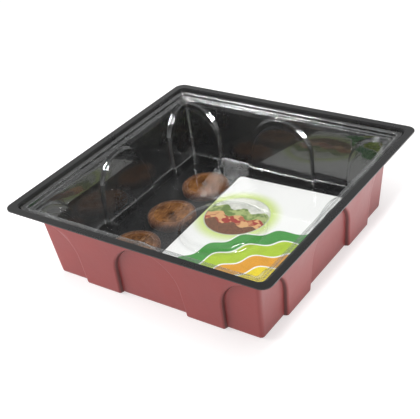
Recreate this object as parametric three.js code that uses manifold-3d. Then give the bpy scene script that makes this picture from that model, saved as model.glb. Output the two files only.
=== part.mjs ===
// Seed propagator: a square thermoformed tray with a clear lid packed upside down inside it,
// nine coir pellets on the tray's floor and a loose label card on top of them.
// Millimetres, +Z up. The origin is under the middle of the tray, on the plane that it stands on.

import * as THREE from "three";
import { mergeVertices } from "three/addons/utils/BufferGeometryUtils.js";
import Module from "manifold-3d";

const wasm = await Module();
wasm.setup();

// Tray: rim
const rimSide = 230;
const rimCornerRadius = 8;
const rimBandWidth = 6.4;
const trayHeight = 65.2;
const bandCornerRadius = 6;
const riserDrop = 5.5;
const riserRun = 1;
const shoulderDrop = 5;
const shoulderTuck = 2;

// Tray: walls and floor
const traySheet = 0.8;
const wallFootSetback = 19.4;
const wallDraft = THREE.MathUtils.degToRad(5.2);
const wallCornerRadius = 3;
const floorEdgeRadius = 1.2;

// Arched recesses: the lid's are higher and wider, so that they clear the tray's
const archRecess = 3.3;
const archSideRun = 2.6;
const archLean = THREE.MathUtils.degToRad(4);
const trayArchRadius = 26.7;
const trayArchSpring = 22;
const lidArchRadius = 27.9;
const lidArchSpring = 28.5;

// Lid
const lidSheet = 0.5;
const lidWallClearance = 0.7;
const flangeDrop = 1.6;
const flangeGap = 1.6;
const flangeWidth = 3.8;
const flangeCornerRadius = 5;
const collarDepth = 3.4;
const collarRun = 0.5;
const collarCornerRadius = 3.5;
const roofEdgeRadius = 0.8;
const roofPanelRadius = 33;
const roofPanelRise = 4.5;
const roofPanelRun = 2.5;

// Pellets
const pelletDiameter = 41;
const pelletThickness = 7;
const pelletPitch = 50;
const pelletRows = 3;
const pelletShiftX = -3.5;
const pelletShiftY = 3.5;
const netThickness = 0.4;
const netFold = 5;
const netEdgeRadius = 1.6;
const coirCrown = 0.35;
const dimpleRadius = 3;
const dimpleDepth = 2.2;

// Label card
const cardWidth = 105;
const cardLength = 148;
const cardThickness = 0.35;
const cardCornerRadius = 3;
const cardCentreX = 25;
const cardCentreY = 3.5;
const cardTurn = THREE.MathUtils.degToRad(2.4);

// Gaps and facets
const seatGap = 0.3;
const cutOvershoot = 4;
const cornerFacets = 3;
const edgeFacets = 2;
const archFacets = 9;
const roofPanelFacets = 32;
const pelletFacets = 18;

// Worked-out sizes
const rimHalf = rimSide / 2;
const wallFootHalf = rimHalf - wallFootSetback;
const bandInnerHalf = rimHalf - rimBandWidth;
const riserFootHalf = bandInnerHalf - riserRun;
const riserFoot = trayHeight - riserDrop;
const shoulderFoot = riserFoot - shoulderDrop;
const pelletBottom = traySheet + seatGap;
const pelletTop = pelletBottom + pelletThickness;
const cardBottom = pelletTop + seatGap;
const roofUnderside = cardBottom + cardThickness + seatGap;
const lidInset = traySheet + lidWallClearance;
const flangeHalf = bandInnerHalf - flangeGap;
const flangeTop = trayHeight - flangeDrop;
const collarTopHalf = flangeHalf - flangeWidth;
const collarFootHalf = collarTopHalf - collarRun;
const collarFoot = flangeTop - collarDepth;
const trayArch = { radius: trayArchRadius, spring: trayArchSpring, inset: 0 };
const lidArch = { radius: lidArchRadius, spring: lidArchSpring, inset: lidInset };

const paint = {
  tray: { color: 0x9c5553, roughness: 0.5, metalness: 0 },
  lid: { color: 0xdfe6e6, roughness: 0.08, metalness: 0, transparent: true, opacity: 0.25 },
  card: { color: 0xf4f3ee, roughness: 0.55, metalness: 0 },
  coir: { color: 0x7a4c2c, roughness: 0.95, metalness: 0 },
  net: { color: 0x8c6a58, roughness: 0.85, metalness: 0 },
};

// A closed geometry as a solid that can be joined and cut.
function solid(geometry) {
  const bare = geometry.clone();
  bare.deleteAttribute("normal");
  bare.deleteAttribute("uv");
  const merged = mergeVertices(bare, 1e-4);
  return new wasm.Manifold(
    new wasm.Mesh({
      numProp: 3,
      vertProperties: new Float32Array(merged.attributes.position.array),
      triVerts: new Uint32Array(merged.index.array),
    }),
  );
}

// A solid as a geometry for a mesh.
function geometryOf(body) {
  const mesh = body.getMesh();
  const geometry = new THREE.BufferGeometry();
  geometry.setAttribute("position", new THREE.BufferAttribute(mesh.vertProperties, 3));
  geometry.setIndex(new THREE.BufferAttribute(mesh.triVerts, 1));
  geometry.computeVertexNormals();
  return geometry;
}

// A loft through convex rings of equal length, each ring counter-clockwise seen from the last one.
function loft(rings) {
  const size = rings[0].length;
  const positions = rings.flat().flatMap((point) => point.toArray());
  const triangles = [];
  for (let level = 0; level + 1 < rings.length; level += 1) {
    for (let i = 0; i < size; i += 1) {
      const low = level * size + i;
      const lowNext = level * size + ((i + 1) % size);
      triangles.push(low, lowNext, lowNext + size);
      triangles.push(low, lowNext + size, low + size);
    }
  }
  const last = (rings.length - 1) * size;
  for (let i = 1; i + 1 < size; i += 1) {
    triangles.push(0, i + 1, i);
    triangles.push(last, last + i, last + i + 1);
  }
  const geometry = new THREE.BufferGeometry();
  geometry.setAttribute("position", new THREE.Float32BufferAttribute(positions, 3));
  geometry.setIndex(triangles);
  return geometry;
}

// The outline of a rectangle with round corners, about the origin.
function roundedOutline(halfX, halfY, radius) {
  const outline = new THREE.Shape();
  outline.absarc(halfX - radius, halfY - radius, radius, 0, Math.PI / 2);
  outline.absarc(radius - halfX, halfY - radius, radius, Math.PI / 2, Math.PI);
  outline.absarc(radius - halfX, radius - halfY, radius, Math.PI, Math.PI * 1.5);
  outline.absarc(halfX - radius, radius - halfY, radius, Math.PI * 1.5, Math.PI * 2);
  return outline;
}

// A level ring of that outline, square, at a height.
function squareRing(half, radius, height) {
  const points = roundedOutline(half, half, radius).getPoints(cornerFacets);
  return points.slice(0, -1).map((point) => new THREE.Vector3(point.x, point.y, height));
}

// Half the side of the walls at a height, a distance in from the tray's outer face.
function wallHalf(height, inset) {
  return wallFootHalf + height * Math.tan(wallDraft) - inset / Math.cos(wallDraft);
}

// The space inside drafted walls, with a round bottom edge.
function drafted(inset, bottom, top, edgeRadius) {
  const rings = [];
  for (let i = 0; i <= edgeFacets; i += 1) {
    const turn = (Math.PI / 2) * (i / edgeFacets);
    const height = bottom + edgeRadius * (1 - Math.cos(turn));
    const tuck = edgeRadius * (1 - Math.sin(turn));
    rings.push(squareRing(wallHalf(height, inset) - tuck, wallCornerRadius, height));
  }
  rings.push(squareRing(wallHalf(top, inset), wallCornerRadius, top));
  return solid(loft(rings));
}

// An arch as a convex ring in a wall's own frame: two leaning legs from below the foot and an arc on them.
function archRing(middle, spring, radius, depth) {
  const footHalf = (radius + (spring + cutOvershoot) * Math.sin(archLean)) / Math.cos(archLean);
  const outline = new THREE.Shape();
  outline.moveTo(middle - footHalf, -cutOvershoot);
  outline.lineTo(middle + footHalf, -cutOvershoot);
  outline.absarc(middle, spring, radius, archLean, Math.PI - archLean);
  const points = outline.getPoints(archFacets);
  return points.map((point) => new THREE.Vector3(point.x, point.y, depth));
}

// The arch as a solid: across the wall, up it and out of it, with sides that slope.
function archCutter(middle, arch, inset) {
  const slope = archSideRun / archRecess;
  const widen = (inset - arch.inset) * Math.hypot(1, slope);
  const rings = [];
  for (const depth of [-archRecess - inset - cutOvershoot, -inset + cutOvershoot]) {
    const radius = arch.radius + slope * (depth + arch.inset + archRecess) + widen;
    rings.push(archRing(middle, arch.spring, radius, depth));
  }
  return loft(rings);
}

// The frame of one of the four walls, its origin at the foot of the tray's outer face.
function wallFrame(quarter) {
  const lean = new THREE.Vector3(Math.sin(wallDraft), 0, Math.cos(wallDraft));
  const out = new THREE.Vector3(Math.cos(wallDraft), 0, -Math.sin(wallDraft));
  const across = new THREE.Vector3(0, 1, 0);
  const frame = new THREE.Matrix4().makeBasis(across, lean, out);
  frame.setPosition(wallFootHalf, 0, 0);
  const turn = new THREE.Matrix4().makeRotationZ((quarter * Math.PI) / 2);
  return turn.multiply(frame);
}

// The arched recesses of all four walls: one in the middle of each wall, one folded round each corner.
function archCutters(arch, inset) {
  const corner = wallHalf(arch.spring, inset + archRecess);
  const cutters = [];
  for (let quarter = 0; quarter < 4; quarter += 1) {
    for (const middle of [-corner, 0, corner]) {
      const cutter = archCutter(middle, arch, inset);
      cutters.push(solid(cutter.applyMatrix4(wallFrame(quarter))));
    }
  }
  return cutters.reduce((all, one) => all.add(one));
}

// The space inside the formed walls: the drafted space less the arches, filled up to the arches' floor.
function basin(arch, inset, bottom, top, edgeRadius) {
  const proud = drafted(inset, bottom, top, edgeRadius);
  const sunk = drafted(inset + archRecess, bottom, top, edgeRadius);
  return proud.subtract(archCutters(arch, inset)).add(sunk);
}

// A round plug on the upright axis, narrower at its top.
function plug(footRadius, topRadius, bottom, height) {
  const geometry = new THREE.CylinderGeometry(topRadius, footRadius, height, roofPanelFacets);
  geometry.rotateX(Math.PI / 2);
  geometry.translate(0, 0, bottom + height / 2);
  return solid(geometry);
}

// The places of the pellets, a little off the middle as they lie loose.
function pelletPlaces() {
  const places = [];
  const first = (-pelletPitch * (pelletRows - 1)) / 2;
  for (let row = 0; row < pelletRows; row += 1) {
    for (let column = 0; column < pelletRows; column += 1) {
      const name = `${row + 1}_${column + 1}`;
      const x = first + column * pelletPitch + pelletShiftX;
      const y = first + row * pelletPitch + pelletShiftY;
      places.push({ name, x, y });
    }
  }
  return places;
}

// The tray: its underside as one solid, less its inside. A shoulder slopes from the riser to the walls.
function makeTray() {
  const top = trayHeight + cutOvershoot;
  const shoulderRun = riserFootHalf - wallHalf(shoulderFoot, traySheet);
  const shoulderAngle = Math.atan2(shoulderDrop, shoulderRun);
  const tuckDrop = shoulderTuck * Math.tan(shoulderAngle);
  const tuckHalf = riserFootHalf - shoulderRun - shoulderTuck;
  const undercut = traySheet * Math.tan(Math.PI / 4 - shoulderAngle / 2);
  const rimUnderside = loft([
    squareRing(tuckHalf + traySheet, wallCornerRadius, shoulderFoot - tuckDrop - undercut),
    squareRing(riserFootHalf + traySheet, bandCornerRadius + traySheet, riserFoot - undercut),
    squareRing(bandInnerHalf + traySheet, bandCornerRadius + traySheet, trayHeight - traySheet),
    squareRing(rimHalf, rimCornerRadius, trayHeight - traySheet),
    squareRing(rimHalf, rimCornerRadius, trayHeight),
  ]);
  const rimInside = loft([
    squareRing(tuckHalf, wallCornerRadius, shoulderFoot - tuckDrop),
    squareRing(riserFootHalf, bandCornerRadius, riserFoot),
    squareRing(bandInnerHalf, bandCornerRadius, trayHeight),
    squareRing(bandInnerHalf, bandCornerRadius, top),
  ]);
  const outside = basin(trayArch, 0, 0, shoulderFoot, floorEdgeRadius + traySheet).add(solid(rimUnderside));
  const inside = basin(trayArch, traySheet, traySheet, top, floorEdgeRadius).add(solid(rimInside));
  return outside.subtract(inside);
}

// The lid, upside down: its roof lies on the card, its walls nest in the tray's, a collar holds the flange.
function makeLid() {
  const roofTop = roofUnderside + lidSheet;
  const flangeUnderside = flangeTop - lidSheet;
  const collarOutside = loft([
    squareRing(collarFootHalf + lidSheet, collarCornerRadius, collarFoot - lidSheet),
    squareRing(collarTopHalf + lidSheet, collarCornerRadius, flangeUnderside),
    squareRing(flangeHalf, flangeCornerRadius, flangeUnderside),
    squareRing(flangeHalf, flangeCornerRadius, flangeTop),
  ]);
  const collarInside = loft([
    squareRing(collarFootHalf, collarCornerRadius, collarFoot),
    squareRing(collarTopHalf, collarCornerRadius, flangeTop),
    squareRing(collarTopHalf, collarCornerRadius, flangeTop + cutOvershoot),
  ]);
  const panelFoot = roofPanelRadius + roofPanelRun;
  const panelUnderside = plug(panelFoot, roofPanelRadius, roofUnderside, roofPanelRise);
  const panelTop = plug(panelFoot + lidSheet, roofPanelRadius + lidSheet, roofTop, roofPanelRise);
  const outside = basin(lidArch, lidInset, roofUnderside, collarFoot, roofEdgeRadius + lidSheet)
    .add(solid(collarOutside))
    .subtract(panelUnderside);
  const inside = basin(lidArch, lidInset + lidSheet, roofTop, collarFoot + cutOvershoot, roofEdgeRadius)
    .add(solid(collarInside))
    .subtract(panelTop);
  return outside.subtract(inside);
}

// A profile of radius and height, turned about the upright axis.
function turned(profile) {
  const geometry = new THREE.LatheGeometry(profile, pelletFacets);
  geometry.rotateX(Math.PI / 2);
  return geometryOf(solid(geometry));
}

// The pressed coir disc, with its bottom at height zero: bevelled edge, low crown, planting dimple.
function makeCoir() {
  const inset = netThickness + seatGap;
  const radius = pelletDiameter / 2 - inset;
  const height = pelletThickness - 2 * inset;
  const bevel = netEdgeRadius;
  const openRadius = pelletDiameter / 2 - netFold - seatGap;
  return turned([
    new THREE.Vector2(0, inset),
    new THREE.Vector2(radius - bevel, inset),
    new THREE.Vector2(radius, inset + bevel),
    new THREE.Vector2(radius, inset + height - bevel),
    new THREE.Vector2(radius - bevel, inset + height),
    new THREE.Vector2(openRadius, inset + height),
    new THREE.Vector2(openRadius - seatGap, inset + height + coirCrown),
    new THREE.Vector2(dimpleRadius, inset + height + coirCrown),
    new THREE.Vector2(dimpleRadius / 2, inset + height - dimpleDepth),
    new THREE.Vector2(0, inset + height - dimpleDepth),
  ]);
}

// The net sleeve: a thin skin round the disc's edge, folded over its top and bottom.
function makeNet() {
  const radius = pelletDiameter / 2;
  const fold = radius - netFold;
  const innerRadius = radius - netThickness;
  const innerTop = pelletThickness - netThickness;
  const corner = netEdgeRadius;
  const profile = [
    new THREE.Vector2(fold, 0),
    new THREE.Vector2(radius - corner, 0),
    new THREE.Vector2(radius, corner),
    new THREE.Vector2(radius, pelletThickness - corner),
    new THREE.Vector2(radius - corner, pelletThickness),
    new THREE.Vector2(fold, pelletThickness),
    new THREE.Vector2(fold, innerTop),
    new THREE.Vector2(innerRadius - corner, innerTop),
    new THREE.Vector2(innerRadius, innerTop - corner),
    new THREE.Vector2(innerRadius, netThickness + corner),
    new THREE.Vector2(innerRadius - corner, netThickness),
    new THREE.Vector2(fold, netThickness),
  ];
  return turned([...profile, profile[0].clone()]);
}

// The label card: a flat sheet with round corners.
function makeCard() {
  const outline = roundedOutline(cardWidth / 2, cardLength / 2, cardCornerRadius);
  return new THREE.ExtrudeGeometry(outline, {
    depth: cardThickness,
    bevelEnabled: false,
    curveSegments: cornerFacets,
  });
}

function named(name, geometry, look) {
  const mesh = new THREE.Mesh(geometry, new THREE.MeshStandardMaterial(look));
  mesh.name = name;
  return mesh;
}

const propagator = new THREE.Group();
propagator.add(named("tray", geometryOf(makeTray()), paint.tray));

const lid = new THREE.Group();
lid.add(named("lid", geometryOf(makeLid()), paint.lid));
propagator.add(lid);

for (const { name, x, y } of pelletPlaces()) {
  const pellet = new THREE.Group();
  pellet.add(named(`pellet_coir_${name}`, makeCoir(), paint.coir));
  pellet.add(named(`pellet_net_${name}`, makeNet(), paint.net));
  pellet.position.set(x, y, pelletBottom);
  propagator.add(pellet);
}

const card = named("label_card", makeCard(), paint.card);
card.position.set(cardCentreX, cardCentreY, cardBottom);
card.rotation.z = cardTurn;
propagator.add(card);

export default propagator;
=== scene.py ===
import bpy
import numpy as np
from mathutils import Matrix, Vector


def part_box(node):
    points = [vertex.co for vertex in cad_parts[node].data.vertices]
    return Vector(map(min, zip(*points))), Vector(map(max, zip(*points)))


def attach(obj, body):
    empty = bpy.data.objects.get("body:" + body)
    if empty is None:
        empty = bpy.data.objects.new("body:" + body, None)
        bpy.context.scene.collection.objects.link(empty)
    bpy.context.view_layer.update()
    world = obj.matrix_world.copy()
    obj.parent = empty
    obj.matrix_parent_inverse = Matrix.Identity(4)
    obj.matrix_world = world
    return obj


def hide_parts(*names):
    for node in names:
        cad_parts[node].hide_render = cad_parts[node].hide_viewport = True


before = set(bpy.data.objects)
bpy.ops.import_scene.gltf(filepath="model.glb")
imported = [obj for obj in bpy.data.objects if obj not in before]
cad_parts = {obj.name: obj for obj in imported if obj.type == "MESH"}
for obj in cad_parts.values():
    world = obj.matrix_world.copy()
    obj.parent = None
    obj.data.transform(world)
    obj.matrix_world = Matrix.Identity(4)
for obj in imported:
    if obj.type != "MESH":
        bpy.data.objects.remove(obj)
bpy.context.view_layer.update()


# The tray
# One thermoformed plastic sheet, black on the inside and dusty terracotta on the outside, trimmed flat
# round its rim. The walls lean out, arched panels pressed into them fold round the corners, and inside
# the rim a riser and a sloping shoulder lead down to the walls.

MM = 0.001
rim_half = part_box("tray")[1].x
rim_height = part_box("tray")[1].z
rim_corner = 8 * MM
band_half = rim_half - 6.4 * MM
band_corner = 6 * MM
riser_half = band_half - 1 * MM
riser_foot = rim_height - 5.5 * MM
shoulder_foot = riser_foot - 5 * MM
tray_sheet = 0.8 * MM
wall_foot_half = 95.6 * MM
wall_draft = np.radians(5.2)
wall_corner = 2 * MM
floor_tuck = 6 * MM
arch_recess = 3.3 * MM
arch_run = 1.3 * MM
arch_lean = np.radians(4)
arch_soften = 0.15
leg_share = 0.29
corner_share = 0.75
tray_arch = {"radius": 28 * MM, "spring": 22 * MM, "inset": 0}


def graded(stops, counts):
    """Values from the first stop to the last, with a count of equal steps from each stop to the next."""
    return np.interp(np.arange(sum(counts) + 1), np.cumsum([0, *counts]), stops)


# Shares of half a side where columns of the mesh stand, closer together on the arches' legs and corners.
half_shares = graded(np.array([0, 25, 32.5, 60.5, 68.5, 91, 97]) / 97, [8, 17, 8, 18, 7, 6])
side_shares = np.concatenate([-half_shares[:0:-1], half_shares])
column_shares = np.tile(side_shares[:-1], 4)
column_turns = np.repeat(np.arange(4) * np.pi / 2, len(side_shares) - 1)
columns = len(column_shares)


def even(steps):
    """Shares from nothing to one in equal steps."""
    return graded([0, 1], [steps])


def held(steps):
    """Equal steps between two short ones, which keep the shading of an arc off the flat beside it."""
    return graded([0, 0.06, 0.94, 1], [1, steps, 1])


def rounded_profile(corners, radii, stretches, arc_steps=4):
    """A line through the corners, each inner corner replaced by an arc that touches both its lines:
    the arc's centre lies on the bisector, radius over the sine of half the angle from the corner.
    Each straight run is cut at its shares, and columns past the second are carried along evenly."""
    corners = np.array(corners, float)
    line = corners[:1]
    for i, radius in enumerate(radii, 1):
        back, ahead = corners[i - 1] - corners[i], corners[i + 1] - corners[i]
        back, ahead = back / np.linalg.norm(back[:2]), ahead / np.linalg.norm(ahead[:2])
        half_angle = np.arccos(back[:2] @ ahead[:2]) / 2
        start = corners[i] + back * radius / np.tan(half_angle)
        end = corners[i] + ahead * radius / np.tan(half_angle)
        bisector = (back + ahead)[:2] / np.linalg.norm((back + ahead)[:2])
        centre = corners[i, :2] + bisector * radius / np.sin(half_angle)
        sweep = np.pi - 2 * half_angle
        turn = np.linspace(0, sweep, arc_steps + 1)[:, None]
        arc = start + (end - start) * turn / sweep
        from_start, from_end = np.sin(sweep - turn) / np.sin(sweep), np.sin(turn) / np.sin(sweep)
        arc[:, :2] = centre + from_start * (start[:2] - centre) + from_end * (end[:2] - centre)
        line = np.concatenate([line, line[-1] + stretches[i - 1][1:, None] * (start - line[-1]), arc[1:]])
    return np.concatenate([line, line[-1] + stretches[-1][1:, None] * (corners[-1] - line[-1])])


def ease(share):
    """A share from 0 to 1 with a level start and end: 3 s squared less 2 s cubed."""
    share = np.clip(share, 0, 1)
    return share * share * (3 - 2 * share)


def wall_half(height, inset):
    """Half the side between the walls at a height, a distance in from the tray's outer face."""
    return wall_foot_half + height * np.tan(wall_draft) - inset / np.cos(wall_draft)


def from_arch(along, arch, inset):
    """The distance along the wall from the middle of the nearest arch: there is one in the middle of each
    wall, and the panel at a corner is an arch whose middle lies on the corner, so that it folds round."""
    corner = wall_half(arch["spring"], inset + arch_recess)
    return np.minimum(np.abs(along), np.maximum(corner - np.abs(along), 0))


def arch_depth(along, height, arch, inset):
    """How far the arched panels stand in from the wall: nothing outside an arch, which is an arc on two
    legs that lean to touch it, and the full recess one run inside it, eased from a small share of a run
    before to as much after."""
    slope = arch_run / arch_recess
    floor_radius = arch["radius"] + (inset - arch["inset"]) * (np.hypot(1, slope) - slope)
    aside = from_arch(along, arch, inset)
    rise = (height - inset * np.sin(wall_draft)) / np.cos(wall_draft) - arch["spring"]
    on_legs = aside * np.cos(arch_lean) + rise * np.sin(arch_lean)
    from_axis = np.where(rise > aside * np.tan(arch_lean), np.hypot(aside, rise), on_legs)
    inward = (floor_radius - from_axis) / arch_run + 1
    return arch_recess * ease((inward + arch_soften) / (1 + 2 * arch_soften))


def wall_rows(profile, arch, inset):
    """The profile given to every column, with rows added on its longest fall, the wall. On each column most
    of them lie in a band about the height where the column meets the arch's side, so that they follow the
    arc: its rise is the root of its radius squared less the distance from its middle squared, and no
    less than a third of the radius. The band is as much higher as the arc is steeper."""
    wall = np.diff(profile[:, 1]).argmin()
    top, bottom = profile[wall], profile[wall + 1]
    fall = top[1] - bottom[1]
    radius = arch["radius"] + arch_run / 2
    aside = from_arch(np.abs(column_shares) * wall_half(arch["spring"], inset), arch, inset)
    least_rise = 0.34 * radius
    rise = np.sqrt(np.maximum(radius**2 - aside**2, least_rise**2))
    arc_depth, band = top[1] - arch["spring"] - rise, 2 * MM * radius / rise
    above = np.maximum(arc_depth - band, 0.3 * MM) / fall
    below = np.maximum(arc_depth + band, 0.3 * MM) / fall
    shares = np.concatenate([
        even(3)[1:, None] * above,
        above + even(14)[1:, None] * (below - above),
        below + graded([0, 0.96, 1], [11, 1])[1:-1, None] * (1 - below),
    ])
    spread = np.broadcast_to(profile[:, None], (len(profile), columns, 3))
    return np.concatenate([spread[:wall + 1], top + shares[..., None] * (bottom - top), spread[wall + 1:]])


def formed_rings(profile, arch, inset):
    """Rows of points round the formed walls, and the share of the arches' recess at each. Each row of the
    profile gives half a side, a height and a corner radius on every column, the arches draw the side in,
    and the last run before a corner bends into an arc. Columns lean with the middle arch's legs."""
    sides, heights, radii = np.moveaxis(wall_rows(profile, arch, inset), -1, 0)
    shares = np.abs(column_shares)
    near_leg = np.clip(1 - np.abs(shares / leg_share - 1), 0, 1)
    leg_lean = (np.tan(arch_lean) + leg_share * np.tan(wall_draft)) * near_leg
    along = shares * sides + leg_lean * np.maximum(arch["spring"] - heights, 0)
    near_corner = ease((shares - corner_share) / (1 - corner_share))
    along = along - arch_depth(sides, heights, arch, inset) * near_corner
    depth = arch_depth(along, heights, arch, inset)
    out = sides - depth
    angle = np.clip(along - out + radii, 0, radii) / radii * np.pi / 4
    across = np.sign(column_shares) * (np.minimum(along, out - radii) + radii * np.sin(angle))
    out = out - radii + radii * np.cos(angle)
    points = np.stack([
        out * np.cos(column_turns) - across * np.sin(column_turns),
        out * np.sin(column_turns) + across * np.cos(column_turns),
        heights,
    ], axis=-1)
    return points, depth / arch_recess


def sheet_faces(index):
    """Faces of four corners between the rows and columns of a grid of point numbers."""
    return np.stack([index[:-1, :-1], index[:-1, 1:], index[1:, 1:], index[1:, :-1]], -1).reshape(-1, 4)


def ring_faces(rows, columns):
    """Faces of four corners between the rows of a grid that closes on itself across its columns."""
    index = np.arange(rows * columns).reshape(rows, columns)
    return sheet_faces(np.concatenate([index, index[:, :1]], axis=1))


def fan_faces(first, columns, pole):
    """Faces of three corners from each stretch of a ring, given by its first point's number, to a pole."""
    ring = np.arange(columns) + first
    return np.stack([ring, np.roll(ring, -1), np.full(columns, pole)], -1)


def smooth_piece(name, points, faces, *finishes):
    """A smoothly shaded mesh object at the origin with its finishes."""
    mesh = bpy.data.meshes.new(name)
    mesh.from_pydata(points, [], faces)
    mesh.shade_smooth()
    for finish in finishes:
        mesh.materials.append(finish)
    piece = bpy.data.objects.new(name, mesh)
    bpy.context.scene.collection.objects.link(piece)
    return piece


def bowl_piece(name, rings, *finishes):
    """A formed sheet from its trimmed edge inwards: rings closed by a fan of faces on their centre."""
    rows = len(rings)
    middle = rings[-1].mean(0, keepdims=True)
    points = np.concatenate([rings.reshape(-1, 3), middle])
    fan = fan_faces((rows - 1) * columns, columns, rows * columns)
    return smooth_piece(name, points, ring_faces(rows, columns).tolist() + fan.tolist(), *finishes)


def thicken(piece, thickness, edge_width):
    """Gives a sheet its thickness below its faces, in its second finish if it has one, and softens the
    trimmed edge."""
    solid = piece.modifiers.new("sheet", "SOLIDIFY")
    solid.thickness = thickness
    solid.offset = -1
    solid.material_offset = len(piece.data.materials) - 1
    edge = piece.modifiers.new("trimmed_edge", "BEVEL")
    edge.width = edge_width
    edge.segments = 2
    edge.limit_method = "ANGLE"
    edge.angle_limit = np.radians(60)
    edge.harden_normals = True


class Tone:
    """A socket in a material's nodes. Arithmetic on tones and numbers adds Math nodes."""

    def __init__(self, tree, socket=None):
        self.tree = tree
        self.socket = socket

    def node(self, kind, settings=None, sockets=None, output=0):
        """Adds a node, sets its settings, then gives its sockets values or links."""
        made = self.tree.nodes.new("ShaderNode" + kind)
        for name, value in (settings or {}).items():
            setattr(made, name, value)
        for key, value in (sockets or {}).items():
            if isinstance(value, Tone):
                self.tree.links.new(value.socket, made.inputs[key])
            else:
                made.inputs[key].default_value = value
        return Tone(self.tree, made.outputs[output] if made.outputs else None)

    def math(self, operation, first, second=0.0):
        return self.node("Math", {"operation": operation}, {0: first, 1: second})

    def __add__(self, other):
        return self.math("ADD", self, other)

    def __radd__(self, other):
        return self.math("ADD", other, self)

    def __sub__(self, other):
        return self.math("SUBTRACT", self, other)

    def __rsub__(self, other):
        return self.math("SUBTRACT", other, self)

    def __mul__(self, other):
        return self.math("MULTIPLY", self, other)

    def __rmul__(self, other):
        return self.math("MULTIPLY", other, self)

    def rise(self, low, high):
        """Nothing below low, one above high, eased between."""
        return self.node("MapRange", {"interpolation_type": "SMOOTHSTEP"}, {0: self, 1: low, 2: high})

    def between(self, under, over):
        """The colour under where this tone is nothing, and the colour over where it is one."""
        return self.node("Mix", {"data_type": "RGBA"}, {0: self, 6: under, 7: over}, 2)

    def noise(self, place, scale, detail=3.0):
        return self.node("TexNoise", {}, {"Vector": place, "Scale": scale, "Detail": detail})

    def bump(self, height, distance):
        return self.node("Bump", {}, {"Distance": distance, "Height": height})


def colour(red, green, blue):
    """A colour as a screen gives it, from 0 to 255, as the light it stands for."""
    share = np.array([red, green, blue]) / 255
    return (*np.where(share > 0.04045, ((share + 0.055) / 1.055) ** 2.4, share / 12.92), 1.0)


def new_finish(name):
    """A material with no nodes yet, the tone that they start from, and the Object coordinates."""
    material = bpy.data.materials.new(name)
    material.use_nodes = True
    material.node_tree.nodes.clear()
    start = Tone(material.node_tree)
    return material, start, start.node("TexCoord", output="Object")


black_sheet, start, place = new_finish("black_sheet")
cloud = start.noise(place, 18.0)
grain = start.noise(place, 900.0)
black = cloud.rise(0.35, 0.7).between(colour(28, 28, 29), colour(33, 33, 33))
surface = start.node("BsdfPrincipled", {}, {
    "Base Color": black,
    "Roughness": 0.22 + 0.1 * cloud + 0.02 * grain,
    "Normal": start.bump(grain + 8.0 * cloud, 0.000004),
})
start.node("OutputMaterial", {}, {"Surface": surface})

terracotta_sheet, start, place = new_finish("terracotta_sheet")
cloud = start.noise(place, 14.0, 5.0)
speck = start.noise(place, 700.0)
drawn = start.noise(place, 60.0)
dust = (0.7 * cloud + 0.3 * drawn).rise(0.38, 0.68)
recess_shade = start.node("Attribute", {"attribute_name": "recess_shade"}, {}, "Fac")
terracotta = dust.between(colour(129, 46, 45), colour(136, 52, 50))
# Painted shade: the terracotta darkens towards a deep red-brown on the arches' recessed sides.
terracotta = recess_shade.rise(0.1, 0.9).between(terracotta, colour(84, 24, 20))
surface = start.node("BsdfPrincipled", {}, {
    "Base Color": terracotta,
    "Roughness": 0.3 + 0.12 * dust + 0.06 * speck,
    "IOR": 1.52,
    "Normal": start.bump(speck + 6.0 * drawn, 0.00005),
})
start.node("OutputMaterial", {}, {"Surface": surface})

floor_half = wall_half(tray_sheet, tray_sheet)
tray_profile = rounded_profile(
    [
        (rim_half, rim_height, rim_corner),
        (band_half, rim_height, band_corner),
        (riser_half, riser_foot, band_corner),
        (wall_half(shoulder_foot, tray_sheet), shoulder_foot, wall_corner),
        (floor_half, tray_sheet, wall_corner),
        (floor_half - floor_tuck, tray_sheet, wall_corner),
    ],
    radii=[0.8 * MM, 0.8 * MM, 1.2 * MM, 1.2 * MM],
    stretches=[held(1), held(1), held(1), even(1), held(1)],
)
tray_rings, tray_panels = formed_rings(tray_profile, tray_arch, tray_sheet)
floor_rings = tray_rings[-1] * np.array([(share, share, 1) for share in (0.75, 0.5, 0.25)])[:, None]
tray_points = np.concatenate([tray_rings, floor_rings])
tray = bowl_piece("formed_tray", tray_points, black_sheet, terracotta_sheet)

# Painted shade on the arches' recessed sides: the terracotta is darkened most halfway down them,
# four times the share of the recess, times what is left of it.
tray_recess_shade = np.zeros(len(tray.data.vertices))
tray_recess_shade[:tray_panels.size] = (4 * tray_panels * (1 - tray_panels)).ravel()
tray.data.attributes.new("recess_shade", "FLOAT", "POINT").data.foreach_set("value", tray_recess_shade)
thicken(tray, tray_sheet, 0.1 * MM)
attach(tray, "tray")
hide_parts("tray")


# The coir pellets
# Nine discs of coir dust and short fibres pressed hard and dry, each with a planting dimple in the
# middle of its top. They swell when watered. They lie loose on the tray's floor in three rows.

coir, start, place = new_finish("coir")
fleck = start.noise(place, 420.0, 6.0)
tuft = start.noise(place, 90.0, 4.0)
fibre_turn = start.node("Mapping", {}, {"Vector": place, "Rotation": (0, 0, 0.6), "Scale": (1, 0.12, 1)})
cross_turn = start.node("Mapping", {}, {"Vector": place, "Rotation": (0, 0, 2.1), "Scale": (1, 0.12, 1)})
fibre = start.math("MAXIMUM", start.noise(fibre_turn, 1300.0), start.noise(cross_turn, 1100.0))
outward = start.node("Attribute", {"attribute_name": "reach"}, {}, "Fac")
brown = tuft.rise(0.3, 0.72).between(colour(84, 50, 22), colour(146, 96, 50))
brown = outward.rise(0.75, 1.0).between(brown, colour(92, 54, 38))
brown = fleck.rise(0.56, 0.72).between(brown, colour(58, 33, 16))
brown = fibre.rise(0.6, 0.72).between(brown, colour(184, 134, 84))
# Painted shade: the planting dimple in the middle of each pellet's top darkens to near black.
brown = outward.rise(0.05, 0.16).between(colour(40, 24, 10), brown)
surface = start.node("BsdfPrincipled", {}, {
    "Base Color": brown,
    "Roughness": 0.85 + 0.1 * fleck,
    "Specular IOR Level": 0.1,
    "Normal": start.bump(fleck + 0.7 * fibre, 0.0004),
})
start.node("OutputMaterial", {}, {"Surface": surface})

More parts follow.
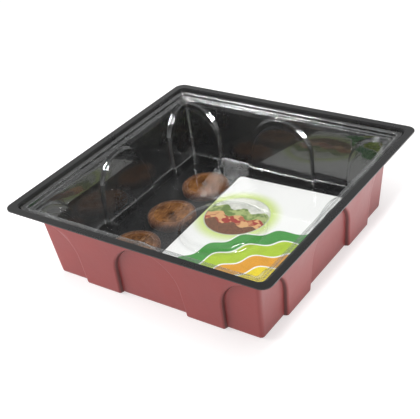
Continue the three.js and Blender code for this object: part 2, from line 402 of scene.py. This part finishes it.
net_thickness = 0.25 * MM
coir_crown = 0.35 * MM
coir_strands = 150
strand_height = 0.22 * MM
pellet_columns = 96
pellet_turns = np.arange(pellet_columns) / pellet_columns * 2 * np.pi


def coir_points(centre, low, high, radius, seed):
    """A disc turned about its axis: dimple, low crown, rounded edge and flat base as a profile of radius
    and height. Its top is roughened by strands, each a ridge with the cross-section of a bell curve."""
    random = np.random.default_rng(seed)
    dimple = 2.2 * MM
    profile = rounded_profile(
        [
            (0.4 * MM, high - coir_crown - dimple),
            (1.4 * MM, high - coir_crown - dimple),
            (3.1 * MM, high),
            (radius - 4.6 * MM, high - 0.2 * MM),
            (radius - 1.2 * MM, high - coir_crown),
            (radius, high - coir_crown - 1.4 * MM),
            (radius, low + 1.6 * MM),
            (radius - 1.6 * MM, low),
            (0.4 * MM, low),
        ],
        radii=[0.6 * MM, 0.8 * MM, 4 * MM, 0.8 * MM, 0.8 * MM, 0.8 * MM, 0.8 * MM],
        stretches=[even(1), even(1), even(16), even(3), even(1), even(2), even(1), even(3)],
    )
    spread = profile[:, :1, None] * np.stack([np.cos(pellet_turns), np.sin(pellet_turns)], -1)
    heights = np.broadcast_to(profile[:, 1:], spread.shape[:2]).copy()
    middles = radius * random.uniform(-1, 1, (coir_strands, 2))
    headings = random.uniform(0, np.pi, coir_strands)
    lengths = random.uniform(1.2, 4.5, coir_strands) * MM
    widths = random.uniform(0.25, 0.5, coir_strands) * MM
    offset = spread[:, :, None] - middles
    along = offset[..., 0] * np.cos(headings) + offset[..., 1] * np.sin(headings)
    aside = offset[..., 1] * np.cos(headings) - offset[..., 0] * np.sin(headings)
    ridges = np.exp(-((aside / widths) ** 2) - (along / lengths) ** 4).sum(-1)
    on_top = (profile[:, 1:] > high - 1.5 * MM) & (profile[:, :1] < radius - 1.5 * MM)
    heights += on_top * strand_height * (np.minimum(ridges, 1.6) - 0.7)
    return np.dstack([spread + centre, heights])


for seed, node in enumerate(sorted(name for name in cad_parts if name.startswith("pellet_coir"))):
    middle = np.mean(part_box(node), axis=0)[:2]
    sleeve_low, sleeve_high = (np.array(corner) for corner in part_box(node.replace("coir", "net")))
    radius = sleeve_high[0] - middle[0] - net_thickness
    grid = coir_points(middle, sleeve_low[2] + net_thickness, sleeve_high[2], radius, seed)[::-1]
    rows, turns = grid.shape[:2]
    points = np.concatenate([grid.reshape(-1, 3), grid[[0, -1]].mean(1)])
    base = fan_faces(0, turns, rows * turns)[:, ::-1]
    top = fan_faces((rows - 1) * turns, turns, rows * turns + 1)
    faces = ring_faces(rows, turns).tolist() + base.tolist() + top.tolist()
    pellet = smooth_piece(node.replace("pellet_coir", "coir"), points, faces, coir)
    outward_shares = np.linalg.norm(points[:, :2] - middle, axis=-1) / (radius + net_thickness)
    pellet.data.attributes.new("reach", "FLOAT", "POINT").data.foreach_set("value", outward_shares)
    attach(pellet, "tray")
    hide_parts(node)


# The net sleeves
# Each pellet wears a fine knitted sleeve of pale plastic thread that keeps the swollen coir together.
# It is gathered over the disc's edge, top and bottom, with a looped hem round each opening.

net, start, place = new_finish("net_thread")
worn = start.noise(place, 300.0)
thread = worn.rise(0.3, 0.7).between(colour(150, 112, 92), colour(196, 160, 138))
surface = start.node("BsdfPrincipled", {}, {
    "Base Color": thread,
    "Roughness": 0.5 + 0.2 * worn,
    "Specular IOR Level": 0.2,
    "Normal": start.bump(worn, 0.0001),
})
start.node("OutputMaterial", {}, {"Surface": surface})

thread_radius = 0.06 * MM
thread_sides = 5
thread_count = 54
thread_lean = 0.55
net_fold = 4.8 * MM
net_edge = 1.6 * MM
hem_loops = 46
hem_ripple = 0.35 * MM
hem_radius = 1.4 * thread_radius
hem_depth = 1.5 * thread_radius


def threads(paths, outs, radius):
    """Round threads: at each point of each path a ring of a few points about the path, in the plane of the
    surface's outward direction and of what is square to it and to the path."""
    ahead = np.gradient(paths, axis=1)
    ahead /= np.linalg.norm(ahead, axis=-1, keepdims=True)
    aside = np.cross(ahead, outs)
    aside /= np.linalg.norm(aside, axis=-1, keepdims=True)
    turn = np.arange(thread_sides)[:, None] / thread_sides * 2 * np.pi
    rings = paths[:, :, None] + radius * (np.cos(turn) * np.cross(aside, ahead)[:, :, None]
                                          + np.sin(turn) * aside[:, :, None])
    one = ring_faces(paths.shape[1], thread_sides)
    step = paths.shape[1] * thread_sides
    faces = (one + np.arange(len(paths))[:, None, None] * step).reshape(-1, 4)
    return rings.reshape(-1, 3), faces


def net_points(centre, low, high, radius):
    """Two families of threads that lean opposite ways as they run over the pellet's edge, from the hem
    on top to the hem below, and a looped thread round each hem."""
    fold = radius - net_fold
    skin = rounded_profile(
        [(fold, high), (radius, high), (radius, low), (fold, low)],
        radii=[net_edge, net_edge],
        stretches=[even(4), even(4), even(4)],
        arc_steps=3,
    )
    ahead = np.gradient(skin, axis=0)
    out = np.stack([-ahead[:, 1], ahead[:, 0]], -1)
    out *= -1 / np.linalg.norm(out, axis=-1, keepdims=True)
    run = np.linspace(0, thread_lean, len(skin))
    starts = np.arange(thread_count)[:, None] / thread_count * 2 * np.pi
    parts = []
    for lean, layer in ((1, 0.5), (-1, -0.5)):
        turn = starts + lean * run
        level = skin - (1 - layer) * out * thread_radius
        paths = np.stack([level[:, 0] * np.cos(turn), level[:, 0] * np.sin(turn),
                          np.broadcast_to(level[:, 1], turn.shape)], -1)
        outs = np.stack([out[:, 0] * np.cos(turn), out[:, 0] * np.sin(turn),
                         np.broadcast_to(out[:, 1], turn.shape)], -1)
        parts.append(threads(paths, outs, thread_radius))
    turn = np.linspace(0, 2 * np.pi, hem_loops * 8 + 1)
    for height, up in ((high, 1), (low, -1)):
        ripple = fold + hem_ripple * np.cos(hem_loops * turn)
        paths = np.stack([ripple * np.cos(turn), ripple * np.sin(turn),
                          np.full(len(turn), height - up * hem_depth)], -1)[None]
        outs = np.broadcast_to([0.0, 0.0, up], paths.shape)
        parts.append(threads(paths, outs, hem_radius))
    counts = np.cumsum([0] + [len(points) for points, _ in parts])
    points = np.concatenate([points for points, _ in parts])
    faces = np.concatenate([faces + count for (_, faces), count in zip(parts, counts)])
    return points + [*centre, 0], faces


for node in sorted(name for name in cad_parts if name.startswith("pellet_net")):
    low, high = (np.array(corner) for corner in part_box(node))
    middle = (low + high) / 2
    points, faces = net_points(middle[:2], low[2], high[2], high[0] - middle[0])
    sleeve = smooth_piece(node.replace("pellet_net", "net"), points, faces, net)
    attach(sleeve, "tray")
    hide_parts(node)


# The label card
# One sheet of white board with cut round corners, printed on its top face. It lies loose on the
# pellets, a little askew, under the lid. The print is a plain garden design: a roundel and hills.

card_width, card_length = 105 * MM, 148 * MM
card_thickness = 0.35 * MM
card_corner = 3 * MM
card_turn = np.radians(2.4)

card_board, start, place = new_finish("card_board")
print_place = start.node("UVMap", {"uv_map": "print"})
across = (start.node("SeparateXYZ", {}, {0: print_place}, "X") - 0.5) * (card_width / MM)
along = (start.node("SeparateXYZ", {}, {0: print_place}, "Y") - 0.5) * (card_length / MM)
fleck = start.noise(place, 900.0)
blot = start.noise(place, 150.0, 5.0)
pips = start.node("TexVoronoi", {}, {"Vector": place, "Scale": 240.0}, "Color")


def reach(middle_across, middle_along):
    """The distance on the card from a place on it, in millimetres."""
    off_across, off_along = across - middle_across, along - middle_along
    return start.math("SQRT", off_across * off_across + off_along * off_along)


def within(edge):
    """One where the edge is over nothing and nothing where it is under, with a printed edge's softness."""
    return edge.rise(-0.25, 0.25)


white = fleck.rise(0.3, 0.7).between(colour(250, 250, 248), colour(255, 255, 253))
roundel_radius = 26.5
from_roundel = reach(-24.0, 18.0)
ink = from_roundel.rise(27.0, 40.0).between(colour(214, 232, 140), white)
hills = reach(62.0, -84.0) + 2.5 * start.math("SINE", 0.16 * (across + along))
for edge, tint in (
    (103.0, colour(70, 158, 66)),
    (88.0, colour(184, 214, 46)),
    (72.0, colour(240, 170, 34)),
    (57.0, colour(250, 226, 30)),
):
    ink = within(edge + 1.6 - hills).between(ink, white)
    darker = (*(0.85 * part for part in tint[:3]), 1)
    shade = (0.5 * blot + 0.5 * fleck).rise(0.3, 0.7).between(tint, darker)
    ink = within(edge - hills).between(ink, shade)
picture_height = along + 2.5 * start.math("SINE", 0.35 * across) + 5.0 * blot
scene_ink = blot.rise(0.4, 0.6).between(colour(214, 216, 206), colour(238, 238, 230))
scene_ink = within(30.0 - picture_height).between(scene_ink, blot.rise(0.42, 0.6).between(
    colour(104, 132, 58), colour(176, 190, 120)))
pip_ink = pips.rise(0.45, 0.6).between(colour(168, 46, 34), colour(226, 176, 120))
scene_ink = within(20.0 - picture_height).between(scene_ink, pip_ink)
soil = fleck.rise(0.35, 0.65).between(colour(88, 50, 32), colour(142, 92, 60))
scene_ink = within(9.0 - picture_height).between(scene_ink, soil)
ink = within(roundel_radius + 1.0 - from_roundel).between(ink, colour(196, 204, 180))
ink = within(roundel_radius - from_roundel).between(ink, scene_ink)
surface = start.node("BsdfPrincipled", {}, {
    "Base Color": ink,
    "Roughness": 0.42 + 0.1 * fleck,
    "Normal": start.bump(fleck, 0.00003),
})
start.node("OutputMaterial", {}, {"Surface": surface})


def card_points(low, high):
    """A level sheet: straight lines across and along, with the squares at its four corners drawn into
    quarter circles by shrinking each of their two shares with the other, then turned and placed."""
    def stops(half):
        inner = np.linspace(0, half - card_corner, 26)
        stop = np.concatenate([inner, half - card_corner + card_corner * np.arange(1, 5) / 4])
        return np.concatenate([-stop[:0:-1], stop])
    x, y = np.meshgrid(stops(card_width / 2), stops(card_length / 2))
    share_x = np.clip((np.abs(x) - card_width / 2) / card_corner + 1, 0, 1)
    share_y = np.clip((np.abs(y) - card_length / 2) / card_corner + 1, 0, 1)
    round_x = x + np.sign(x) * card_corner * share_x * (np.sqrt(1 - share_y**2 / 2) - 1)
    round_y = y + np.sign(y) * card_corner * share_y * (np.sqrt(1 - share_x**2 / 2) - 1)
    centre = (low + high) / 2
    level = np.full(x.shape, high[2])
    points = np.stack([
        centre[0] + round_x * np.cos(card_turn) - round_y * np.sin(card_turn),
        centre[1] + round_x * np.sin(card_turn) + round_y * np.cos(card_turn),
        level,
    ], -1)
    prints = np.stack([round_x / card_width, round_y / card_length], -1) + 0.5
    return points, prints


card_grid, card_prints = card_points(*(np.array(corner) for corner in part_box("label_card")))
card_index = np.arange(card_grid[..., 0].size).reshape(card_grid.shape[:2])
card_faces = sheet_faces(card_index)
card = smooth_piece("printed_card", card_grid.reshape(-1, 3), card_faces, card_board)
card_uv = card.data.uv_layers.new(name="print")
card_uv.data.foreach_set("uv", card_prints.reshape(-1, 2)[card_faces.ravel()].ravel())
thicken(card, card_thickness, 0.08 * MM)
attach(card, "tray")
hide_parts("label_card")


# The lid
# One clear thermoformed sheet of the same form as the tray, a size smaller, packed upside down inside
# it. Its roof, stiffened by a round raised panel, lies on the card, and a short collar at the top of its
# walls carries the flange. In use it comes out and stands the other way up, as a dome.

lid_sheet = 0.5 * MM
lid_outer_inset = tray_sheet + 0.7 * MM
lid_inset = lid_outer_inset + lid_sheet / 2
lid_arch = {"radius": 29.2 * MM, "spring": 28.5 * MM, "inset": lid_outer_inset}
flange_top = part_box("lid")[1].z - lid_sheet / 2
flange_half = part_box("lid")[1].x
flange_corner = 5 * MM
collar_half = flange_half - 3.8 * MM
collar_foot = flange_top - 3.4 * MM
collar_corner = 3.5 * MM
roof_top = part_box("lid")[0].z + lid_sheet / 2
panel_radius = 33.5 * MM
panel_rise = 4.5 * MM
panel_run = 2.5 * MM

# The piece is the middle of the sheet, and its finish stands for both faces. Where the sheet is bent its
# gloss is broader and it is hazier, partly real and partly a painted highlight that draws pale lines along
# the folds.
clear_sheet, start, place = new_finish("clear_sheet")
smear = start.noise(place, 22.0, 4.0)
bend = start.node("Attribute", {"attribute_name": "bend"}, {}, "Fac")
gloss = start.node("BsdfGlossy", {}, {
    "Color": (1, 1, 1, 1),
    "Roughness": 0.02 + 0.03 * smear + 0.12 * bend,
})
haze_and_fold_highlight = start.node("BsdfDiffuse", {}, {"Color": (0.42, 0.43, 0.43, 1)})
clear = start.node("BsdfTransparent", {}, {"Color": (0.995, 1, 1, 1)})
# Partly painted highlight: where the bend is, more grey diffuse is mixed in, drawing pale lines along the
# folds and the arches' lips.
veil_and_fold_highlight = start.node("MixShader", {}, {0: 0.014 + 0.014 * smear + 0.2 * bend, 1: clear, 2: haze_and_fold_highlight})

# The share that both faces mirror: about a tenth head on, rising with the fifth power of the slant.
slant = start.node("LayerWeight", {}, {"Blend": 0.5}, "Facing")
mirror = 0.09 + 0.91 * start.math("POWER", slant, 5.0)
surface = start.node("MixShader", {}, {0: mirror, 1: veil_and_fold_highlight, 2: gloss})
start.node("OutputMaterial", {}, {"Surface": surface})

roof_half = wall_half(roof_top, lid_inset)
lid_profile = rounded_profile(
    [
        (flange_half, flange_top, flange_corner),
        (collar_half, flange_top, collar_corner),
        (collar_half - 0.5 * MM, collar_foot, collar_corner),
        (wall_half(collar_foot, lid_inset), collar_foot, wall_corner),
        (roof_half, roof_top, wall_corner),
        (roof_half - floor_tuck, roof_top, wall_corner),
    ],
    radii=[0.9 * MM, 0.8 * MM, 0.5 * MM, 0.8 * MM],
    stretches=[held(1), held(1), held(1), even(1), held(1)],
)
lid_rings, lid_panels = formed_rings(lid_profile, lid_arch, lid_inset)


def roof_rings(ring):
    """Rings from the roof's edge to its middle: they pass evenly from the edge's outline to a circle at
    the foot of the round panel, then follow the panel's profile of radius and height inwards."""
    outward = ring[:, :2] / np.linalg.norm(ring[:, :2], axis=-1, keepdims=True)
    foot = panel_radius + panel_run
    profile = rounded_profile(
        [(foot + 3 * MM, 0), (foot, 0), (panel_radius, panel_rise), (0.4 * MM, panel_rise)],
        radii=[0.4 * MM, 0.4 * MM],
        stretches=[even(1), even(2), even(8)],
    )
    passing = (np.arange(1, 7) / 7)[:, None, None]
    outer = ring[:, :2] + passing * (profile[0, 0] * outward - ring[:, :2])
    inner = profile[:, :1, None] * outward
    heights = np.concatenate([np.zeros(len(outer)), profile[:, 1]]) + roof_top
    spread = np.concatenate([outer, inner])
    return np.dstack([spread, np.broadcast_to(heights[:, None], spread.shape[:2])])


def bend_shares(rings, panels):
    """How sharply the sheet is bent at each point, from 0 to 1: the turn from row to row on a column
    between two arches; on the arches' sides, a peak two thirds of the way to the panel, the cube of
    27/4 of its share squared times what is left; and most of a bend where a panel folds round a corner."""
    between_arches = 0.48
    full_turn = np.radians(20)
    corner_start = 0.97
    corner_bend = 0.8
    between = np.abs(column_shares - between_arches).argmin()
    ahead = np.diff(rings[:, between], axis=0)
    heading = np.unwrap(np.arctan2(ahead[:, 2], np.linalg.norm(ahead[:, :2], axis=-1)))
    turn = np.minimum(np.abs(np.pad(np.diff(heading), 1)) / full_turn, 1)
    corner = corner_bend * np.clip((np.abs(column_shares) - corner_start) / (1 - corner_start), 0, 1)
    bends = np.repeat(turn[:, None], columns, axis=1)
    arches = np.maximum((6.75 * panels**2 * (1 - panels)) ** 3, (panels > 0.5) * corner)
    bends[:len(panels)] = np.maximum(bends[:len(panels)], arches)
    return bends


lid_points = np.concatenate([lid_rings, roof_rings(lid_rings[-1])])
lid = bowl_piece("formed_lid", lid_points, clear_sheet)
lid_bends = np.append(bend_shares(lid_points, lid_panels), 0)
lid.data.attributes.new("bend", "FLOAT", "POINT").data.foreach_set("value", lid_bends)
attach(lid, "lid")
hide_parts("lid")


# The floor and the light
# A plain white light table that glows more on the right, a surround that dims towards the top, and soft
# lights overhead and on the left. Four more, two on the left and two on the right, act on the lid alone
# and only by gloss: they draw the highlights on its folds and the pale patch on its roof.

floor_reach = 6.0
light_table, start, place = new_finish("studio_floor")
paper = start.noise(place, 3.0)
aside = start.node("SeparateXYZ", {}, {0: place}, "X")
behind = start.node("SeparateXYZ", {}, {0: place}, "Y")
glow = (aside.rise(0.095, 0.125) - aside.rise(0.2, 0.3)) * behind.rise(-0.16, -0.06)
surface = start.node("BsdfPrincipled", {}, {
    "Base Color": paper.between(colour(186, 186, 186), colour(190, 190, 190)),
    "Roughness": 0.9,
    "Emission Color": glow.between((0.58, 0.58, 0.58, 1), (1.8, 1.8, 1.8, 1)),
    "Emission Strength": 1.0,
})
start.node("OutputMaterial", {}, {"Surface": surface})
floor_corners = floor_reach * np.array([(-1, -1, 0), (1, -1, 0), (1, 1, 0), (-1, 1, 0)])
floor = smooth_piece("studio_floor", floor_corners, [(0, 1, 2, 3)], light_table)

bpy.context.scene.view_settings.view_transform = "Standard"
world = bpy.data.worlds.new("studio")
world.use_nodes = True
world.node_tree.nodes.clear()
start = Tone(world.node_tree)
direction = start.node("TexCoord", output="Generated")
upward = start.node("SeparateXYZ", {}, {0: direction}, "Z")
surround = upward.rise(0.3, 0.75).between((0.75, 0.75, 0.75, 1), (0.12, 0.12, 0.12, 1))
start.node("OutputWorld", {}, {"Surface": start.node("Background", {}, {"Color": surround})})
bpy.context.scene.world = world


def soft_light(name, power, toward, distance, length, width, long_way):
    """An oblong light at a distance in a direction from the tray, facing it, its length the long way."""
    lamp = bpy.data.lights.new(name, "AREA")
    lamp.shape = "RECTANGLE"
    lamp.size = length
    lamp.size_y = width
    lamp.energy = power
    light = bpy.data.objects.new(name, lamp)
    back = np.array(toward) / np.linalg.norm(toward)
    up = np.cross(back, long_way)
    up /= np.linalg.norm(up)
    axes = np.stack([np.cross(up, back), up, back], -1)
    light.matrix_world = Matrix.Translation(back * distance) @ Matrix(axes).to_4x4()
    bpy.context.scene.collection.objects.link(light)
    return light


overhead_light = soft_light(
    "overhead_light", power=12.0, toward=(0, 0, 1), distance=1.0,
    length=1.2, width=1.2, long_way=(1, 0, 0),
)
fill_light = soft_light(
    "fill_light", power=5.0, toward=(-0.85, -0.45, 0.3), distance=0.7,
    length=0.4, width=0.4, long_way=(1, -1, 0),
)
for light in (overhead_light, fill_light):
    light.visible_glossy = False

key_light = soft_light(
    "key_light", power=30.0, toward=(-0.528, -0.434, 0.729), distance=1.27,
    length=0.34, width=0.2, long_way=(1, 0, 0),
)
window_light = soft_light(
    "window_light", power=42.0, toward=(0.5, -0.21, 0.85), distance=1.2,
    length=0.3, width=0.3, long_way=(0, 1, 0),
)
side_light = soft_light(
    "side_light", power=56.0, toward=(0.701, -0.062, 0.71), distance=1.2,
    length=0.4, width=0.3, long_way=(0, 1, 0),
)
left_light = soft_light(
    "left_light", power=3.4, toward=(-0.538, -0.54, 0.646), distance=2.5,
    length=0.2, width=0.35, long_way=(0.78, -0.62, 0),
)
clear_pieces = bpy.data.collections.new("clear_pieces")
clear_pieces.objects.link(lid)
for light in (key_light, window_light, side_light, left_light):
    light.visible_diffuse = False
    light.light_linking.receiver_collection = clear_pieces

# The strong ones end after the reflections that show, which keeps specks off the dark sheet.
for light in (key_light, window_light):
    light.data.cycles.max_bounces = 0
side_light.data.cycles.max_bounces = 1


# The camera
# It looks down on the front corner from the right, a little tilted, from about 0.75 m away.

image_width = 420
focal_pixels = 925.094
camera_azimuth = 0.6623824
camera_elevation = 0.5625506
camera_roll = -0.1326438
camera_place = (0.371177, -0.489111, 0.415454)
back = np.array([
    np.sin(camera_azimuth) * np.cos(camera_elevation),
    -np.cos(camera_azimuth) * np.cos(camera_elevation),
    np.sin(camera_elevation),
])
right = np.array([np.cos(camera_azimuth), np.sin(camera_azimuth), 0])
up = np.cross(back, right)
turned_right = right * np.cos(camera_roll) + up * np.sin(camera_roll)
turned_up = up * np.cos(camera_roll) - right * np.sin(camera_roll)
lens = bpy.data.cameras.new("camera")
lens.sensor_width = 36
lens.lens = lens.sensor_width * focal_pixels / image_width
camera = bpy.data.objects.new("camera", lens)
axes = Matrix(np.stack([turned_right, turned_up, back], -1)).to_4x4()
camera.matrix_world = Matrix.Translation(camera_place) @ axes
bpy.context.scene.collection.objects.link(camera)
bpy.context.scene.camera = camera
